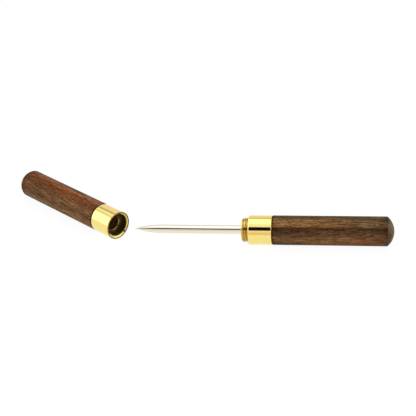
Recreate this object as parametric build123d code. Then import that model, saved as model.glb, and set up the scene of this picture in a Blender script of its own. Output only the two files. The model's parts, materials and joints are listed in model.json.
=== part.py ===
"""Pocket scratch awl: a steel point in a brass and rosewood handle, with its screw cap lying by the point.

Both halves are turned work, so each piece is a closed outline spun about the X axis. The handle's axis is the
X axis of the frame. The origin is where the blade leaves the handle's threaded nose, and it points to -X.
The cap is drawn the same way, with its mouth at x = 0 and its domed end towards +X, and is then set down
where it lies.
"""
from build123d import *
import math
import os

# Wooden barrels
body_diameter = 16.0
handle_barrel_length = 61.5
handle_dome_height = 3.7
cap_barrel_length = 63.9
cap_dome_height = 5.1
dome_edge_round = 0.8
wood_edge_chamfer = 0.35

# Steel blade, a rod ground to a long rounded point, with a thinner tang behind its seat on the ferrule
blade_diameter = 4.76
blade_reach = 59.4
point_length = 15.0
tip_diameter = 0.4
tip_length = 0.15
tang_diameter = 4.0
tang_length_in_wood = 25.0
tang_chamfer = 0.4
tang_end_gap = 0.5

# Screw thread between handle and cap, right-handed
thread_diameter = 13.2
thread_pitch = 1.2
thread_depth = 0.5
thread_root_flat = 0.1
thread_flank_angle = 30.0
thread_clearance = 0.15

# Handle ferrule
nose_length = 3.6
nose_chamfer = 0.8
nose_relief_width = 0.3
nose_relief_depth = 0.6
nose_groove_at_top = 1.2
handle_collar_length = 12.9
shoulder_edge_round = 0.8
handle_tenon_length = 8.0

# Cap ferrule
cap_ferrule_length = 14.2
cap_thread_length = 4.5
mouth_bevel_length = 0.9
mouth_bevel_diameter = 15.0
mouth_edge_round = 0.25
brass_edge_round = 0.45

# Sockets in the ferrules, and the tenons glued into them
socket_diameter = 13.5
tenon_end_gap = 0.1
glue_gap = 0.03

# Stop ring that the cap holds between its thread and its tenon
stop_ring_thickness = 2.0
stop_ring_countersink_diameter = 9.4
stop_ring_countersink_depth = 0.6
stop_ring_side_clearance = 0.06
stop_ring_end_clearance = 0.1
cap_bore_diameter = 8.4
cap_bore_end_clearance = 2.4

# Where the cap lies: its mouth beyond the blade's tip and to one side, and its turn on the table
cap_mouth_beyond_tip = 10.2
cap_mouth_aside = 2.95
cap_yaw = 36.7

body_radius = body_diameter / 2
blade_radius = blade_diameter / 2
tang_radius = tang_diameter / 2
tang_hole_radius = tang_radius + glue_gap
tip_radius = tip_diameter / 2
nose_thread_radius = thread_diameter / 2
cap_thread_radius = nose_thread_radius - thread_depth + thread_clearance
socket_radius = socket_diameter / 2
tenon_radius = socket_radius - glue_gap
cap_bore_radius = cap_bore_diameter / 2
tip_x = -blade_reach
handle_joint_x = nose_length + handle_collar_length
tang_end_x = handle_joint_x + tang_length_in_wood


def spun(outline):
    """A solid of revolution about the X axis, from the closed outline of its upper half."""
    return revolve(make_face(outline), Axis.X)


def tube(inner_radius, outer_radius, start_x, end_x):
    corners = [(start_x, inner_radius), (start_x, outer_radius), (end_x, outer_radius), (end_x, inner_radius)]
    return spun(Polyline(*corners, close=True))


def groove_cutter(crest_radius, depth, length):
    """The tool that cuts a right-hand groove along X, which crosses the underside at x = 0.

    It cuts inwards where the depth is above 0 and outwards where it is below, and stands past the crest by a
    quarter of the depth, so that it leaves a clean edge.
    """
    over_radius = crest_radius + depth / 4
    root_radius = crest_radius - depth
    half_root = thread_root_flat / 2
    half_top = half_root + abs(over_radius - root_radius) * math.tan(math.radians(thread_flank_angle))
    profile = Polyline(
        (over_radius, 0, -half_top),
        (over_radius, 0, half_top),
        (root_radius, 0, half_root),
        (root_radius, 0, -half_root),
        close=True,
    )
    helix = Helix(pitch=thread_pitch, height=length, radius=crest_radius)
    return Rot(Y=90) * sweep(make_face(profile), path=helix, is_frenet=True)


def dome(start_x, height):
    """The arc of a barrel's spherical end, from its edge down to the axis."""
    dome_radius = (body_radius**2 + height**2) / (2 * height)
    centre_x = start_x + height - dome_radius
    half_angle = math.asin(body_radius / dome_radius) / 2
    middle = (centre_x + dome_radius * math.cos(half_angle), dome_radius * math.sin(half_angle))
    return ThreePointArc((start_x, body_radius), middle, (start_x + height, 0))


def barrel(front_x, length, dome_height, tenon_length, hole_radius, hole_end_x):
    """A wooden barrel: a tenon in front, a domed end behind, and a blind hole up its axis from the tenon."""
    tenon_x = front_x - tenon_length
    end_x = front_x + length
    front = Polyline(
        (hole_end_x, 0),
        (hole_end_x, hole_radius),
        (tenon_x, hole_radius),
        (tenon_x, tenon_radius),
        (front_x, tenon_radius),
        (front_x, body_radius - wood_edge_chamfer),
        (front_x + wood_edge_chamfer, body_radius),
        (end_x, body_radius),
    )
    back = Line((end_x + dome_height, 0), (hole_end_x, 0))
    half = make_face([*front.edges(), dome(end_x, dome_height), back])
    corner = half.vertices().sort_by_distance((end_x, body_radius))[0]
    return revolve(fillet(corner, dome_edge_round), Axis.X)


def make_blade():
    shank_x = tip_x + point_length
    flank_end = (tip_x + tip_length, tip_radius)
    flank = TangentArc((shank_x, blade_radius), flank_end, tangent=(-1, 0))
    rest = Polyline(
        flank_end,
        (tip_x, 0),
        (tang_end_x, 0),
        (tang_end_x, tang_radius - tang_chamfer),
        (tang_end_x - tang_chamfer, tang_radius),
        (0, tang_radius),
        (0, blade_radius),
        (shank_x, blade_radius),
    )
    return spun([flank, *rest.edges()])


def make_nose():
    """The threaded nose, trimmed from a longer rod that has its groove all along it."""
    groove = groove_cutter(nose_thread_radius, thread_depth, nose_length + 3 * thread_pitch)
    rod = tube(0, nose_thread_radius, -4 * thread_pitch, nose_length + 4 * thread_pitch)
    threaded_rod = rod - Pos(nose_groove_at_top - 1.5 * thread_pitch, 0, 0) * groove
    relief_x = nose_length - nose_relief_width
    corners = [
        (0, tang_hole_radius),
        (0, nose_thread_radius - nose_chamfer),
        (nose_chamfer, nose_thread_radius),
        (relief_x, nose_thread_radius),
        (relief_x, nose_thread_radius - nose_relief_depth),
        (nose_length, nose_thread_radius - nose_relief_depth),
        (nose_length, tang_hole_radius),
    ]
    return spun(Polyline(*corners, close=True)) & threaded_rod


def make_collar():
    """The handle's brass collar: its front shoulder rolls over into its side, and its back is a socket."""
    socket_x = handle_joint_x - handle_tenon_length - tenon_end_gap
    half = make_face(
        Polyline(
            (nose_length, tang_hole_radius),
            (nose_length, body_radius),
            (handle_joint_x, body_radius),
            (handle_joint_x, socket_radius),
            (socket_x, socket_radius),
            (socket_x, tang_hole_radius),
            close=True,
        )
    )
    shoulder = half.vertices().sort_by_distance((nose_length, body_radius))[0]
    half = fillet(shoulder, shoulder_edge_round)
    joint_edge = half.vertices().sort_by_distance((handle_joint_x, body_radius))[0]
    return revolve(fillet(joint_edge, brass_edge_round), Axis.X)


def make_handle_ferrule():
    return make_collar() + make_nose()


def make_handle_barrel():
    return barrel(
        handle_joint_x,
        handle_barrel_length,
        handle_dome_height,
        handle_tenon_length,
        tang_hole_radius,
        tang_end_x + tang_end_gap,
    )


def make_cap_ferrule():
    # The mouth is bored and then tapped right through into the socket behind it
    groove = groove_cutter(cap_thread_radius, -thread_depth, cap_thread_length + 2 * thread_pitch)
    blank_end_x = cap_ferrule_length + 3 * thread_pitch
    blank = tube(cap_thread_radius, body_diameter, -3 * thread_pitch, blank_end_x)
    tapped_blank = blank - Pos(-thread_pitch, 0, 0) * groove
    half = make_face(
        Polyline(
            (mouth_bevel_length, cap_thread_radius),
            (0, mouth_bevel_diameter / 2),
            (0, body_radius),
            (cap_ferrule_length, body_radius),
            (cap_ferrule_length, socket_radius),
            (cap_thread_length, socket_radius),
            (cap_thread_length, cap_thread_radius),
            close=True,
        )
    )
    rim = half.vertices().sort_by_distance((0, body_radius))[0]
    half = fillet(rim, mouth_edge_round)
    joint_edge = half.vertices().sort_by_distance((cap_ferrule_length, body_radius))[0]
    half = fillet(joint_edge, brass_edge_round)
    return revolve(half, Axis.X) & tapped_blank


def make_cap_stop_ring():
    front_x = cap_thread_length + stop_ring_end_clearance
    back_x = front_x + stop_ring_thickness
    outer_radius = socket_radius - stop_ring_side_clearance
    return spun(
        Polyline(
            (front_x, stop_ring_countersink_diameter / 2),
            (front_x, outer_radius),
            (back_x, outer_radius),
            (back_x, cap_bore_radius),
            (front_x + stop_ring_countersink_depth, cap_bore_radius),
            close=True,
        )
    )


def make_cap_barrel():
    ring_space = stop_ring_thickness + 2 * stop_ring_end_clearance
    tenon_length = cap_ferrule_length - cap_thread_length - ring_space
    bore_end_x = blade_reach + nose_length + cap_bore_end_clearance
    return barrel(
        cap_ferrule_length,
        cap_barrel_length,
        cap_dome_height,
        tenon_length,
        cap_bore_radius,
        bore_end_x,
    )


cap_place = Pos(tip_x - cap_mouth_beyond_tip, cap_mouth_aside, 0) * Rot(Z=180 - cap_yaw)
pieces = {
    "blade": make_blade(),
    "handle_ferrule": make_handle_ferrule(),
    "handle_barrel": make_handle_barrel(),
    "cap_ferrule": cap_place * make_cap_ferrule(),
    "cap_stop_ring": cap_place * make_cap_stop_ring(),
    "cap_barrel": cap_place * make_cap_barrel(),
}
os.makedirs("parts", exist_ok=True)
for name, piece in pieces.items():
    export_step(piece, f"parts/{name}.step")
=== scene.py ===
"""Pocket scratch awl: its steel point, brass ferrules and rosewood barrels, dressed around the model.

Lengths are in metres, as they are in the model.
"""
import json
import math
import bpy
from mathutils import Matrix, Vector


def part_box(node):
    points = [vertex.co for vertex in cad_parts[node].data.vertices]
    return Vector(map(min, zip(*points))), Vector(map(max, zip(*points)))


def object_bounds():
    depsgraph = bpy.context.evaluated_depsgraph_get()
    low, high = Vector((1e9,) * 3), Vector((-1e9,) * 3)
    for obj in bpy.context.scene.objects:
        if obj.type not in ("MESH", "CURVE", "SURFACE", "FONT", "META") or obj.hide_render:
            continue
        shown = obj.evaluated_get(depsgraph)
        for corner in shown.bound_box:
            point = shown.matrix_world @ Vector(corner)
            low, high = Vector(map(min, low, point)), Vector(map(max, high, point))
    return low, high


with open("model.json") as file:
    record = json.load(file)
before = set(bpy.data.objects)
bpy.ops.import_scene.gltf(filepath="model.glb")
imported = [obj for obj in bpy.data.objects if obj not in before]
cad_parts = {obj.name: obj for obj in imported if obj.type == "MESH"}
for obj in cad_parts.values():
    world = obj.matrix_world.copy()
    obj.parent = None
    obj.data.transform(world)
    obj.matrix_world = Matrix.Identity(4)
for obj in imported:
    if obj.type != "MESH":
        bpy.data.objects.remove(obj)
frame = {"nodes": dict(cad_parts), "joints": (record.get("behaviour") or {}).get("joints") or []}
cad_low, cad_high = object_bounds()
nodes = frame["nodes"]


# Blade: a round rod of silver steel, drawn, then turned to its long bulging point and buffed.
# Its shoulder seats on the nose of the handle's ferrule, and its tang is glued inside.


def colour(hex_code):
    """A colour written as sRGB hex, as the linear numbers that a socket takes."""
    channels = [int(hex_code[i : i + 2], 16) / 255 for i in (1, 3, 5)]
    linear = [c / 12.92 if c <= 0.04045 else ((c + 0.055) / 1.055) ** 2.4 for c in channels]
    return (*linear, 1)


def add_node(tree, kind, inputs=(), stops=(), **settings):
    """Adds a node with its settings. An input is a value or a socket, and the stops are a ramp's."""
    node = tree.nodes.new(kind)
    for name, value in settings.items():
        setattr(node, name, value)
    for key, value in dict(inputs).items():
        if isinstance(value, bpy.types.NodeSocket):
            tree.links.new(value, node.inputs[key])
        else:
            node.inputs[key].default_value = value
    for number, (position, hex_code) in enumerate(stops):
        elements = node.color_ramp.elements
        element = elements[number] if number < 2 else elements.new(position)
        element.position = position
        element.color = colour(hex_code)
    return node


def new_material(name):
    """A material with an empty tree."""
    material = bpy.data.materials.new(name)
    material.use_nodes = True
    material.node_tree.nodes.clear()
    return material


# Silver steel, drawn and buffed along its length: a near mirror, with hairlines that run to the point.
# The hairlines are drawn about ten times as coarse as real ones, so that they show.
hairline_width = 0.00018
hairline_length = 0.03
hairline_depth = 0.00001
# A noise stays mostly between these two
noise_low = 0.3
noise_high = 0.7
steel = new_material("silver steel, drawn and buffed")
tree = steel.node_tree
stretched = add_node(
    tree,
    "ShaderNodeVectorMath",
    {
        0: add_node(tree, "ShaderNodeTexCoord").outputs["Object"],
        1: (1 / hairline_length, 1 / hairline_width, 1 / hairline_width),
    },
    operation="MULTIPLY",
)
hairlines = add_node(
    tree,
    "ShaderNodeTexNoise",
    {"Vector": stretched.outputs["Vector"], "Scale": 1.0, "Detail": 3.0},
).outputs["Fac"]
tone = add_node(
    tree,
    "ShaderNodeValToRGB",
    {"Fac": hairlines},
    stops=[(noise_low, "#e0ddca"), (noise_high, "#eeebda")],
)
roughness = add_node(
    tree,
    "ShaderNodeMapRange",
    {"Value": hairlines, "From Min": noise_low, "From Max": noise_high, "To Min": 0.04, "To Max": 0.08},
)
bump = add_node(
    tree,
    "ShaderNodeBump",
    {"Height": hairlines, "Strength": 0.15, "Distance": hairline_depth},
)
shader = add_node(
    tree,
    "ShaderNodeBsdfPrincipled",
    {
        "Base Color": tone.outputs["Color"],
        "Metallic": 1.0,
        "Roughness": roughness.outputs["Result"],
        "Normal": bump.outputs["Normal"],
    },
)
add_node(tree, "ShaderNodeOutputMaterial", {"Surface": shader.outputs["BSDF"]})
nodes["blade"].material_slots[0].material = steel


# Handle ferrule: a turned brass collar with a rounded shoulder and a screw-cut nose, glued over the
# handle's tenon. It is buffed bright, except on the screw, which is left as it was cut.


def turned_brass(name, centre, turn, bare_and_shaded_radius, bareness_and_shade, rim_dark_reflection=0.0, bare_roughness=0.45):
    # Cartridge brass, turned: a yellow near mirror with faint rings where it was buffed, and browner,
    # darker and duller the barer it is. The rings are drawn about five times as coarse as real ones, so
    # that they show.
    # Inside the bare radius it is as it was cut. Each step of bareness says from where to where along the
    # piece it comes in, and by how much. Besides the as-cut brass, the steps carry painted shade and a
    # painted glint inside the cap's mouth and on its stop ring. The rim's step is a painted dark
    # reflection that goes right across the rim, out to the buffed side.
    # The bare roughness is how dull the barest brass is.
    ring_width = 0.00025
    ring_length = 0.02
    ring_depth = 0.00001
    stain_size = 0.0012
    rim_depth = 0.0001
    rim_fade = 0.00025
    material = new_material(name)
    tree = material.node_tree
    place = add_node(
        tree,
        "ShaderNodeMapping",
        {
            "Vector": add_node(tree, "ShaderNodeTexCoord").outputs["Object"],
            "Location": centre,
            "Rotation": (0, 0, turn),
        },
        vector_type="TEXTURE",
    ).outputs["Vector"]
    along = add_node(tree, "ShaderNodeSeparateXYZ", {"Vector": place}).outputs["X"]
    outwards = add_node(tree, "ShaderNodeVectorMath", {0: place, 1: (0, 1, 1)}, operation="MULTIPLY")
    radius = add_node(
        tree,
        "ShaderNodeVectorMath",
        {0: outwards.outputs["Vector"]},
        operation="LENGTH",
    )
    inside = add_node(
        tree,
        "ShaderNodeMath",
        {0: radius.outputs["Value"], 1: bare_and_shaded_radius},
        operation="LESS_THAN",
    )
    deeper = 0.0
    for start, end, change in bareness_and_shade:
        step = add_node(
            tree,
            "ShaderNodeMapRange",
            {"Value": along, "From Min": start, "From Max": end, "To Min": 0.0, "To Max": change},
        )
        deeper = add_node(
            tree,
            "ShaderNodeMath",
            {0: step.outputs["Result"], 1: deeper},
            operation="ADD",
        ).outputs["Value"]
    stains = add_node(
        tree,
        "ShaderNodeTexNoise",
        {"Vector": place, "Scale": 1 / stain_size, "Detail": 3.0},
    ).outputs["Fac"]
    stretched = add_node(
        tree,
        "ShaderNodeVectorMath",
        {0: place, 1: (1 / ring_width, 1 / ring_length, 1 / ring_length)},
        operation="MULTIPLY",
    )
    rings = add_node(
        tree,
        "ShaderNodeTexNoise",
        {"Vector": stretched.outputs["Vector"], "Scale": 1.0, "Detail": 2.0},
    ).outputs["Fac"]
    # Each has what it follows, from where to where that counts, and what it gives at those two ends
    tool_marks, smudges, lathe_lines, on_rim = (
        add_node(
            tree,
            "ShaderNodeMapRange",
            {"Value": value, "From Min": start, "From Max": end, "To Min": at_start, "To Max": at_end},
        ).outputs["Result"]
        for value, start, end, at_start, at_end in (
            (rings, 0.35, 0.65, 0.4, 1.6),
            (stains, 0.5, 0.75, 0.0, 0.05),
            (rings, noise_low, noise_high, 0.04, 0.09),
            (along, rim_depth, rim_fade, rim_dark_reflection, 0.0),
        )
    )
    marked = add_node(tree, "ShaderNodeMath", {0: deeper, 1: tool_marks}, operation="MULTIPLY")
    # Bareness, with the painted shade, painted glint and painted dark rim reflection that the steps and
    # the rim carry
    bare_and_shaded = add_node(
        tree,
        "ShaderNodeMath",
        {0: inside.outputs["Value"], 1: marked.outputs["Value"], 2: smudges},
        operation="MULTIPLY_ADD",
    )
    bare_and_shaded = add_node(
        tree,
        "ShaderNodeMath",
        {0: bare_and_shaded.outputs["Value"], 1: on_rim},
        operation="MAXIMUM",
    ).outputs["Value"]
    tone = add_node(
        tree,
        "ShaderNodeValToRGB",
        {"Fac": bare_and_shaded},
        stops=[(0.0, "#f6e38d"), (0.35, "#c4a04f"), (0.65, "#8a7848"), (1.0, "#54482a")],
    )
    roughness = add_node(
        tree,
        "ShaderNodeMath",
        {0: bare_and_shaded, 1: bare_roughness, 2: lathe_lines},
        operation="MULTIPLY_ADD",
    )
    bump = add_node(tree, "ShaderNodeBump", {"Height": rings, "Strength": 0.1, "Distance": ring_depth})
    shader = add_node(
        tree,
        "ShaderNodeBsdfPrincipled",
        {
            "Base Color": tone.outputs["Color"],
            "Metallic": 1.0,
            "Roughness": roughness.outputs["Value"],
            "Normal": bump.outputs["Normal"],
        },
    )
    add_node(tree, "ShaderNodeOutputMaterial", {"Surface": shader.outputs["BSDF"]})
    return material


nodes["handle_ferrule"].material_slots[0].material = turned_brass(
    "turned brass of the handle ferrule",
    centre=(0, 0, 0),
    turn=0,
    bare_and_shaded_radius=0.007,
    bareness_and_shade=[(0.0001, 0.0002, 0.3)],
)


# Handle: rosewood, turned with a low domed end, sanded, oiled and waxed. Its tenon is glued into the
# ferrule, and its hole takes the blade's tang.


def rosewood(name, joint_centre, tilt, turn, cut_from, grain_and_shade_layers, barrel_length, hole_radius, hole_depth):
    # Rosewood, quarter sawn and turned: uneven brown layers that run along the stick, fine fibres and
    # short open pores under a low waxed sheen. It has painted shade in the groove against the brass and
    # towards the arris of the dome. The dome's end grain is greyer, partly as a painted sheen, with
    # painted shade at its top and bottom. It is raw in its hole. The fibres and pores are drawn about
    # three times as coarse as real ones, so that they show.
    # The tilt turns the stick about its own axis, and cut_from is its place in the log, so that no two
    # sticks are alike. The layers go from one side of the stick to the other. Each has its place, its
    # tone by the brass and its tone by the dome. With the tilt they run across the stick as it lies, and
    # besides the grain they hold painted light and shade: the lit and shaded sides of the stick, and
    # painted shade along its top and bottom edges.
    stick_width = 0.016
    wander_length = 0.035
    wander_width = 0.005
    wander = 0.0018
    cloud_length = 0.035
    cloud_width = 0.003
    fibre_length = 0.007
    fibre_width = 0.00042
    pore_length = 0.0022
    pore_width = 0.0004
    fleck_length = 0.0035
    fleck_width = 0.0008
    fibre_depth = 0.00005
    # Painted shade in the groove where the wood meets the brass, fading out from the joint
    groove_shade_depth = 0.0003
    groove_shade_fade = 0.0011
    hole_margin = 0.0001
    hole_end_fade = 0.001
    wax_sheen = 0.06
    # From where to where each tone comes in, from the dome's edge, and how much of it there is then
    far_part = (-0.028, -0.014, 1.0)
    # The arris part and tone are painted shade, darkening the barrel towards the arris of the dome
    arris_shade_part = (-0.005, -0.0003, 0.55)
    dome_part = (-0.0001, 0.0006, 0.48)
    arris_shade_tone = "#2a1a0c"
    # The dome's tone: end grain made greyer by a painted sheen, with painted shade at its top and bottom
    end_grain_sheen_and_shade_layers = [
        (0.08, "#140e08"),
        (0.3, "#84704f"),
        (0.55, "#806b4c"),
        (0.7, "#564530"),
        (0.92, "#161008"),
    ]
    fleck_tone = "#a0642c"
    pore_tone = "#1a0e07"
    # The painted shade in the groove against the brass
    groove_shade_tone = "#120a05"
    raw_tone = "#6b452a"
    material = new_material(name)
    tree = material.node_tree
    place = add_node(
        tree,
        "ShaderNodeMapping",
        {
            "Vector": add_node(tree, "ShaderNodeTexCoord").outputs["Object"],
            "Location": joint_centre,
            "Rotation": (tilt, 0, turn),
        },
        vector_type="TEXTURE",
    ).outputs["Vector"]
    in_log = add_node(tree, "ShaderNodeVectorMath", {0: place, 1: cut_from}, operation="ADD")
    patterns = []
    for grain_length, grain_width, detail in (
        (wander_length, wander_width, 2.0),
        (cloud_length, cloud_width, 2.0),
        (fibre_length, fibre_width, 5.0),
        (pore_length, pore_width, 1.0),
        (fleck_length, fleck_width, 2.0),
    ):
        stretched = add_node(
            tree,
            "ShaderNodeVectorMath",
            {0: in_log.outputs["Vector"], 1: (1 / grain_length, 1 / grain_width, 1 / grain_width)},
            operation="MULTIPLY",
        )
        noise = add_node(
            tree,
            "ShaderNodeTexNoise",
            {"Vector": stretched.outputs["Vector"], "Scale": 1.0, "Detail": detail, "Roughness": 0.6},
        )
        patterns.append(noise.outputs["Fac"])
    waves, clouds, fibres, pores, flecks = patterns
    in_stick = add_node(tree, "ShaderNodeSeparateXYZ", {"Vector": place})
    along = in_stick.outputs["X"]
    shift = add_node(
        tree,
        "ShaderNodeMapRange",
        {"Value": waves, "From Min": 0.0, "From Max": 1.0, "To Min": -wander, "To Max": wander},
    )
    shifted = add_node(
        tree,
        "ShaderNodeMath",
        {0: in_stick.outputs["Z"], 1: shift.outputs["Result"]},
        operation="ADD",
    )
    through = add_node(
        tree,
        "ShaderNodeMapRange",
        {"Value": shifted.outputs["Value"], "From Min": stick_width / 2, "From Max": -stick_width / 2},
    )
    near_tone, far_tone, dome_tone = (
        add_node(
            tree,
            "ShaderNodeValToRGB",
            {"Fac": through.outputs["Result"]},
            stops=stops,
        ).outputs["Color"]
        for stops in (
            [(position, near) for position, near, far in grain_and_shade_layers],
            [(position, far) for position, near, far in grain_and_shade_layers],
            end_grain_sheen_and_shade_layers,
        )
    )
    far_share, arris_shade_share, dome_share = (
        add_node(
            tree,
            "ShaderNodeMapRange",
            {
                "Value": along,
                "From Min": barrel_length + start,
                "From Max": barrel_length + end,
                "To Min": 0.0,
                "To Max": most,
            },
        ).outputs["Result"]
        for start, end, most in (far_part, arris_shade_part, dome_part)
    )
    tone = near_tone
    for share, end_tone in (
        (far_share, far_tone),
        (arris_shade_share, colour(arris_shade_tone)),
        (dome_share, dome_tone),
    ):
        tone = add_node(
            tree,
            "ShaderNodeMix",
            {0: share, 6: tone, 7: end_tone},
            data_type="RGBA",
        ).outputs[2]
    off_axis = add_node(tree, "ShaderNodeVectorMath", {0: place, 1: (0, 1, 1)}, operation="MULTIPLY")
    radius = add_node(tree, "ShaderNodeVectorMath", {0: off_axis.outputs["Vector"]}, operation="LENGTH")
    hole_wall = add_node(
        tree,
        "ShaderNodeMath",
        {0: radius.outputs["Value"], 1: hole_radius + hole_margin},
        operation="LESS_THAN",
    ).outputs["Value"]
    hole_end = hole_depth + hole_end_fade
    # Each has what it follows, from where to where that counts, and what it gives at those two ends
    (
        fibre_light,
        fibre_richness,
        cloud_light,
        fleck_share,
        pore_share,
        groove_shade_share,
        raw_share,
        roughness,
    ) = (
        add_node(
            tree,
            "ShaderNodeMapRange",
            {"Value": value, "From Min": start, "From Max": end, "To Min": at_start, "To Max": at_end},
        ).outputs["Result"]
        for value, start, end, at_start, at_end in (
            (fibres, noise_low, noise_high, 0.2, 2.0),
            (fibres, noise_low, noise_high, 1.14, 0.78),
            (clouds, 0.35, 0.65, 0.68, 1.36),
            (flecks, 0.55, 0.7, 0.0, 0.25),
            (pores, 0.56, 0.66, 0.0, 0.75),
            (along, groove_shade_depth, groove_shade_fade, 0.85, 0.0),
            (along, hole_depth, hole_end, hole_wall, 0.0),
            (fibres, noise_low, noise_high, 0.5, 0.38),
        )
    )
    grain_light = add_node(tree, "ShaderNodeMath", {0: fibre_light, 1: cloud_light}, operation="MULTIPLY")
    tone = add_node(
        tree,
        "ShaderNodeHueSaturation",
        {"Color": tone, "Saturation": fibre_richness, "Value": grain_light.outputs["Value"]},
    ).outputs["Color"]
    for share, hex_code in (
        (fleck_share, fleck_tone),
        (pore_share, pore_tone),
        (groove_shade_share, groove_shade_tone),
        (raw_share, raw_tone),
    ):
        tone = add_node(
            tree,
            "ShaderNodeMix",
            {0: share, 6: tone, 7: colour(hex_code)},
            data_type="RGBA",
        ).outputs[2]
    relief = add_node(tree, "ShaderNodeMath", {0: fibres, 1: pore_share}, operation="SUBTRACT")
    bump = add_node(
        tree,
        "ShaderNodeBump",
        {"Height": relief.outputs["Value"], "Strength": 0.4, "Distance": fibre_depth},
    )
    shader = add_node(
        tree,
        "ShaderNodeBsdfPrincipled",
        {
            "Base Color": tone,
            "Roughness": roughness,
            "Specular IOR Level": wax_sheen,
            "Normal": bump.outputs["Normal"],
        },
    )
    add_node(tree, "ShaderNodeOutputMaterial", {"Surface": shader.outputs["BSDF"]})
    return material


ferrule_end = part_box("handle_ferrule")[1].x
# The handle's layers hold painted light and shade as well as grain: painted shade at both edges, and a
# dark layer near the middle that is partly a painted reflection of the tent's dark opening
handle_grain_and_shade_layers = [
    (0.0, "#2a1c0c", "#2a1c0c"),
    (0.06, "#5c401a", "#4f3a18"),
    (0.2, "#785428", "#6c512f"),
    (0.35, "#765026", "#654a2a"),
    (0.42, "#42240f", "#3f2711"),
    (0.52, "#4c2d19", "#4c351d"),
    (0.6, "#543b22", "#543b22"),
    (0.66, "#543e26", "#5c4126"),
    (0.72, "#6c4828", "#855428"),
    (0.85, "#744a20", "#784a22"),
    (0.93, "#5e4018", "#543a18"),
    (1.0, "#2a1c0c", "#2a1c0c"),
]
nodes["handle_barrel"].material_slots[0].material = rosewood(
    "rosewood of the handle",
    joint_centre=(ferrule_end, 0, 0),
    tilt=math.radians(-31),
    turn=0,
    cut_from=(0.2685, 0.0655, 0.1465),
    grain_and_shade_layers=handle_grain_and_shade_layers,
    barrel_length=0.0615,
    hole_radius=0.00203,
    hole_depth=0.0255,
)


# Cap ferrule: the turned brass mouth of the cap, with the screw that takes the handle's nose. It is
# glued over the cap's tenon, and buffed outside only. Inside its mouth it carries painted reflections,
# a painted glint and painted shade.
cap_turn = next(joint for joint in frame["joints"] if joint["name"] == "cap_turn")
mouth_centre = Vector(cap_turn["pos_m"])
mouth_outwards = Vector(cap_turn["axis"])
cap_angle = math.atan2(-mouth_outwards.y, -mouth_outwards.x)
nodes["cap_ferrule"].material_slots[0].material = turned_brass(
    "turned brass of the cap ferrule",
    centre=mouth_centre,
    turn=cap_angle,
    bare_and_shaded_radius=0.0076,
    # Painted inside the mouth: dark at its very edge as a painted dark reflection, a bright band just
    # inside, partly a polished chamfer and partly a painted glint, then painted shade deeper in over
    # as-cut brass, which stands for the light and shade of the screw's turns
    bareness_and_shade=[
        (-0.0001, 0.00005, 0.95),
        (0.00015, 0.00025, -0.85),
        (0.0005, 0.0006, 0.6),
        (0.0009, 0.001, 0.25),
    ],
    # The rim face is painted darker, as a painted dark reflection
    rim_dark_reflection=0.6,
)


# Cap's stop ring: a turned brass ring, caught between the screw and the tenon. It guides the point into
# the bore. Its as-cut brass is painted darker still, as shade deep inside the cap, and its countersink
# lighter, as painted light.
nodes["cap_stop_ring"].material_slots[0].material = turned_brass(
    "turned brass of the stop ring",
    centre=mouth_centre,
    turn=cap_angle,
    bare_and_shaded_radius=0.008,
    # Painted shade over the whole ring, lifted at the countersink as painted light
    bareness_and_shade=[(0.0, 0.001, 0.75), (0.0046, 0.0052, -0.3)],
    bare_roughness=0.6,
)


# Cap: rosewood from a redder stick, with a deep bore for the point and a rounder dome at its end. Its
# tenon is glued into the cap ferrule.
cap_ferrule_length = 0.0142
cap_joint = mouth_centre - mouth_outwards * cap_ferrule_length
# The cap's layers hold painted light and shade as well as grain, with painted shade at both edges
cap_grain_and_shade_layers = [
    (0.0, "#34200e", "#34200e"),
    (0.07, "#844c12", "#77430e"),
    (0.2, "#7e420e", "#7e420e"),
    (0.35, "#6e3a10", "#6e3a10"),
    (0.45, "#784a20", "#704620"),
    (0.55, "#785024", "#66431f"),
    (0.68, "#644426", "#603f22"),
    (0.8, "#684624", "#684624"),
    (0.93, "#704a1a", "#704a1a"),
    (1.0, "#34240e", "#34240e"),
]
nodes["cap_barrel"].material_slots[0].material = rosewood(
    "rosewood of the cap",
    joint_centre=cap_joint,
    tilt=math.radians(40.7),
    turn=cap_angle,
    cut_from=(0.1074, 0.0262, 0.0586),
    grain_and_shade_layers=cap_grain_and_shade_layers,
    barrel_length=0.0639,
    hole_radius=0.0042,
    hole_depth=0.0512,
)


# Floor: a sheet of white card that both halves lie on, with a tan table in front of it. Only metal
# shows the table.
floor_size = 8.0
card_front = -0.073
card_edge_blur = 0.003
bpy.ops.object.select_all(action="DESELECT")
bpy.ops.mesh.primitive_plane_add(size=floor_size, location=(0, 0, cad_low.z))
floor = bpy.context.object
floor.name = "floor"

# White card, coated: plain matt white to the eye, with only a faint shadow. Most of its white is its own
# glow, which is a little weaker where it lights the underside of the wood.
card_grey = 0.1
glow_on_wood = 0.7
glow_seen = 0.93
table_tone = "#ecd2b6"
card_tone = "#fffdf8"
card = new_material("white card")
tree = card.node_tree
paper = add_node(tree, "ShaderNodeBsdfDiffuse", {"Color": (card_grey, card_grey, card_grey, 1)})
path = add_node(tree, "ShaderNodeLightPath")
seen = add_node(
    tree,
    "ShaderNodeMath",
    {0: path.outputs["Is Camera Ray"], 1: path.outputs["Is Glossy Ray"]},
    operation="MAXIMUM",
)
glow_strength = add_node(
    tree,
    "ShaderNodeMapRange",
    {"Value": seen.outputs["Value"], "To Min": glow_on_wood, "To Max": glow_seen},
)
on_floor = add_node(
    tree,
    "ShaderNodeSeparateXYZ",
    {"Vector": add_node(tree, "ShaderNodeTexCoord").outputs["Object"]},
)
card_share = add_node(
    tree,
    "ShaderNodeMapRange",
    {
        "Value": on_floor.outputs["Y"],
        "From Min": card_front - card_edge_blur,
        "From Max": card_front + card_edge_blur,
    },
)
mirrored_floor = add_node(
    tree,
    "ShaderNodeValToRGB",
    {"Fac": card_share.outputs["Result"]},
    stops=[(0.0, table_tone), (1.0, card_tone)],
)
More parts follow.
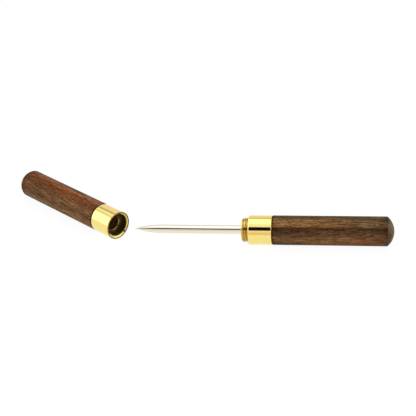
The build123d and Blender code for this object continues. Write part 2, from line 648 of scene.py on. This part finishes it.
glow_tone = add_node(
    tree,
    "ShaderNodeMix",
    {0: path.outputs["Is Camera Ray"], 6: mirrored_floor.outputs["Color"], 7: (1, 1, 1, 1)},
    data_type="RGBA",
)
glow = add_node(
    tree,
    "ShaderNodeEmission",
    {"Color": glow_tone.outputs[2], "Strength": glow_strength.outputs["Result"]},
)
card_shader = add_node(
    tree,
    "ShaderNodeAddShader",
    {0: paper.outputs["BSDF"], 1: glow.outputs["Emission"]},
)
add_node(tree, "ShaderNodeOutputMaterial", {"Surface": card_shader.outputs["Shader"]})
floor.data.materials.append(card)


# Light: a box tent of white cloth round the table, with a lamp's soft patch on its ceiling, dark seams
# along the ceiling, a rosy back, and a dark opening in front that the camera looks in through. Only the
# metal and the wax show it: the eye sees plain white, and all else is lit evenly.
# A wall's rise is how steeply a look to its top goes up.
back_rise = 0.98
front_rise = 1.36
side_rise = 1.06
wall_edge = 0.015
side_seam_share = 0.65
lamp_patch = (-0.1, 0.25, 1.0)
lamp_patch_inner = 0.2
lamp_patch_outer = 0.6
lamp_glow = 1.62
ceiling_glow = 1.05
side_glow_low = 1.5
side_glow_high = 1.9
side_glow_level = 0.4
seam_offset = 0.5
plain_light = 0.9
world = bpy.data.worlds.new("light tent")
bpy.context.scene.world = world
world.use_nodes = True
tree = world.node_tree
tree.nodes.clear()
look = add_node(tree, "ShaderNodeTexCoord").outputs["Generated"]
way = add_node(tree, "ShaderNodeSeparateXYZ", {"Vector": look})
sideways = add_node(tree, "ShaderNodeMath", {0: way.outputs["X"]}, operation="ABSOLUTE")
to_back, to_front, to_side = (
    add_node(tree, "ShaderNodeMath", {0: part, 1: rise}, operation="MULTIPLY").outputs["Value"]
    for part, rise in (
        (way.outputs["Y"], back_rise),
        (way.outputs["Y"], -front_rise),
        (sideways.outputs["Value"], side_rise),
    )
)
to_end = add_node(tree, "ShaderNodeMath", {0: to_back, 1: to_front}, operation="MAXIMUM")
to_wall = add_node(tree, "ShaderNodeMath", {0: to_end.outputs["Value"], 1: to_side}, operation="MAXIMUM")
above_wall = add_node(
    tree,
    "ShaderNodeMath",
    {0: way.outputs["Z"], 1: to_wall.outputs["Value"]},
    operation="SUBTRACT",
)
side_over_end = add_node(
    tree,
    "ShaderNodeMath",
    {0: to_side, 1: to_end.outputs["Value"]},
    operation="SUBTRACT",
)
level = add_node(
    tree,
    "ShaderNodeMath",
    {0: way.outputs["Z"], 1: to_wall.outputs["Value"]},
    operation="DIVIDE",
)
ceiling_share, side_share, back_share = (
    add_node(
        tree,
        "ShaderNodeMapRange",
        {"Value": value, "From Min": -wall_edge, "From Max": wall_edge},
    ).outputs["Result"]
    for value in (above_wall.outputs["Value"], side_over_end.outputs["Value"], way.outputs["Y"])
)
front_wall = add_node(
    tree,
    "ShaderNodeValToRGB",
    {"Fac": level.outputs["Value"]},
    stops=[
        (0.0, "#f1d8c6"),
        (0.12, "#fbdccd"),
        (0.2, "#ffe8e1"),
        (0.3, "#fff6fb"),
        (0.35, "#fff6fb"),
        (0.37, "#0d0d0d"),
    ],
)
back_wall = add_node(
    tree,
    "ShaderNodeValToRGB",
    {"Fac": level.outputs["Value"]},
    stops=[(0.0, "#f9eaef"), (0.7, "#fbecf2")],
)
side_wall = add_node(
    tree,
    "ShaderNodeMapRange",
    {
        "Value": level.outputs["Value"],
        "From Max": side_glow_level,
        "To Min": side_glow_low,
        "To Max": side_glow_high,
    },
)
to_ceiling = add_node(tree, "ShaderNodeMath", {0: 1.0, 1: way.outputs["Z"]}, operation="DIVIDE")
on_ceiling = add_node(
    tree,
    "ShaderNodeVectorMath",
    {0: look, "Scale": to_ceiling.outputs["Value"]},
    operation="SCALE",
)
from_patch = add_node(
    tree,
    "ShaderNodeVectorMath",
    {0: on_ceiling.outputs["Vector"], 1: lamp_patch},
    operation="DISTANCE",
)
ceiling = add_node(
    tree,
    "ShaderNodeMapRange",
    {
        "Value": from_patch.outputs["Value"],
        "From Min": lamp_patch_inner,
        "From Max": lamp_patch_outer,
        "To Min": lamp_glow,
        "To Max": ceiling_glow,
    },
)
tent = front_wall.outputs["Color"]
for share, surface in (
    (back_share, back_wall.outputs["Color"]),
    (side_share, side_wall.outputs["Result"]),
    (ceiling_share, ceiling.outputs["Result"]),
):
    tent = add_node(tree, "ShaderNodeMix", {0: share, 6: tent, 7: surface}, data_type="RGBA").outputs[2]
by_seam = add_node(
    tree,
    "ShaderNodeMath",
    {0: above_wall.outputs["Value"], 1: seam_offset},
    operation="ADD",
)
seam = add_node(
    tree,
    "ShaderNodeValToRGB",
    {"Fac": by_seam.outputs["Value"]},
    stops=[(0.28, "#ffffff"), (0.5, "#b8b2a6"), (0.54, "#bdb8ae"), (0.65, "#ffffff")],
)
seam_share = add_node(tree, "ShaderNodeMix", {0: side_share, 2: back_share, 3: side_seam_share})
seamed_tent = add_node(
    tree,
    "ShaderNodeMix",
    {0: seam_share.outputs[0], 6: tent, 7: seam.outputs["Color"]},
    data_type="RGBA",
    blend_type="MULTIPLY",
)
path = add_node(tree, "ShaderNodeLightPath")
light = (plain_light, plain_light, plain_light, 1)
for share, shown in (
    (path.outputs["Is Glossy Ray"], seamed_tent.outputs[2]),
    (path.outputs["Is Camera Ray"], (1, 1, 1, 1)),
):
    light = add_node(tree, "ShaderNodeMix", {0: share, 6: light, 7: shown}, data_type="RGBA").outputs[2]
sky = add_node(tree, "ShaderNodeBackground", {"Color": light, "Strength": 1.0})
add_node(tree, "ShaderNodeOutputWorld", {"Surface": sky.outputs["Background"]})


# Camera: above and in front of the table, turned a little to the left and tilted.
camera_distance = 0.6
camera_azimuth = math.radians(9.74)
camera_elevation = math.radians(30.66)
camera_roll = math.radians(-4.51)
camera_target = Vector((-0.0218, 0.02266, 0.0))
lens_length = 91.78
sensor_width = 36.0
camera_data = bpy.data.cameras.new("camera")
camera_data.lens = lens_length
camera_data.sensor_width = sensor_width
camera = bpy.data.objects.new("camera", camera_data)
bpy.context.scene.collection.objects.link(camera)
flat = math.cos(camera_elevation)
backwards = Vector(
    (
        flat * math.sin(camera_azimuth),
        -flat * math.cos(camera_azimuth),
        math.sin(camera_elevation),
    )
)
aim = (-backwards).to_track_quat("-Z", "Y").to_matrix().to_4x4()
stand = Matrix.Translation(camera_target + backwards * camera_distance)
camera.matrix_world = stand @ aim @ Matrix.Rotation(camera_roll, 4, "Z")
bpy.context.scene.camera = camera
bpy.context.scene.view_settings.view_transform = "Standard"
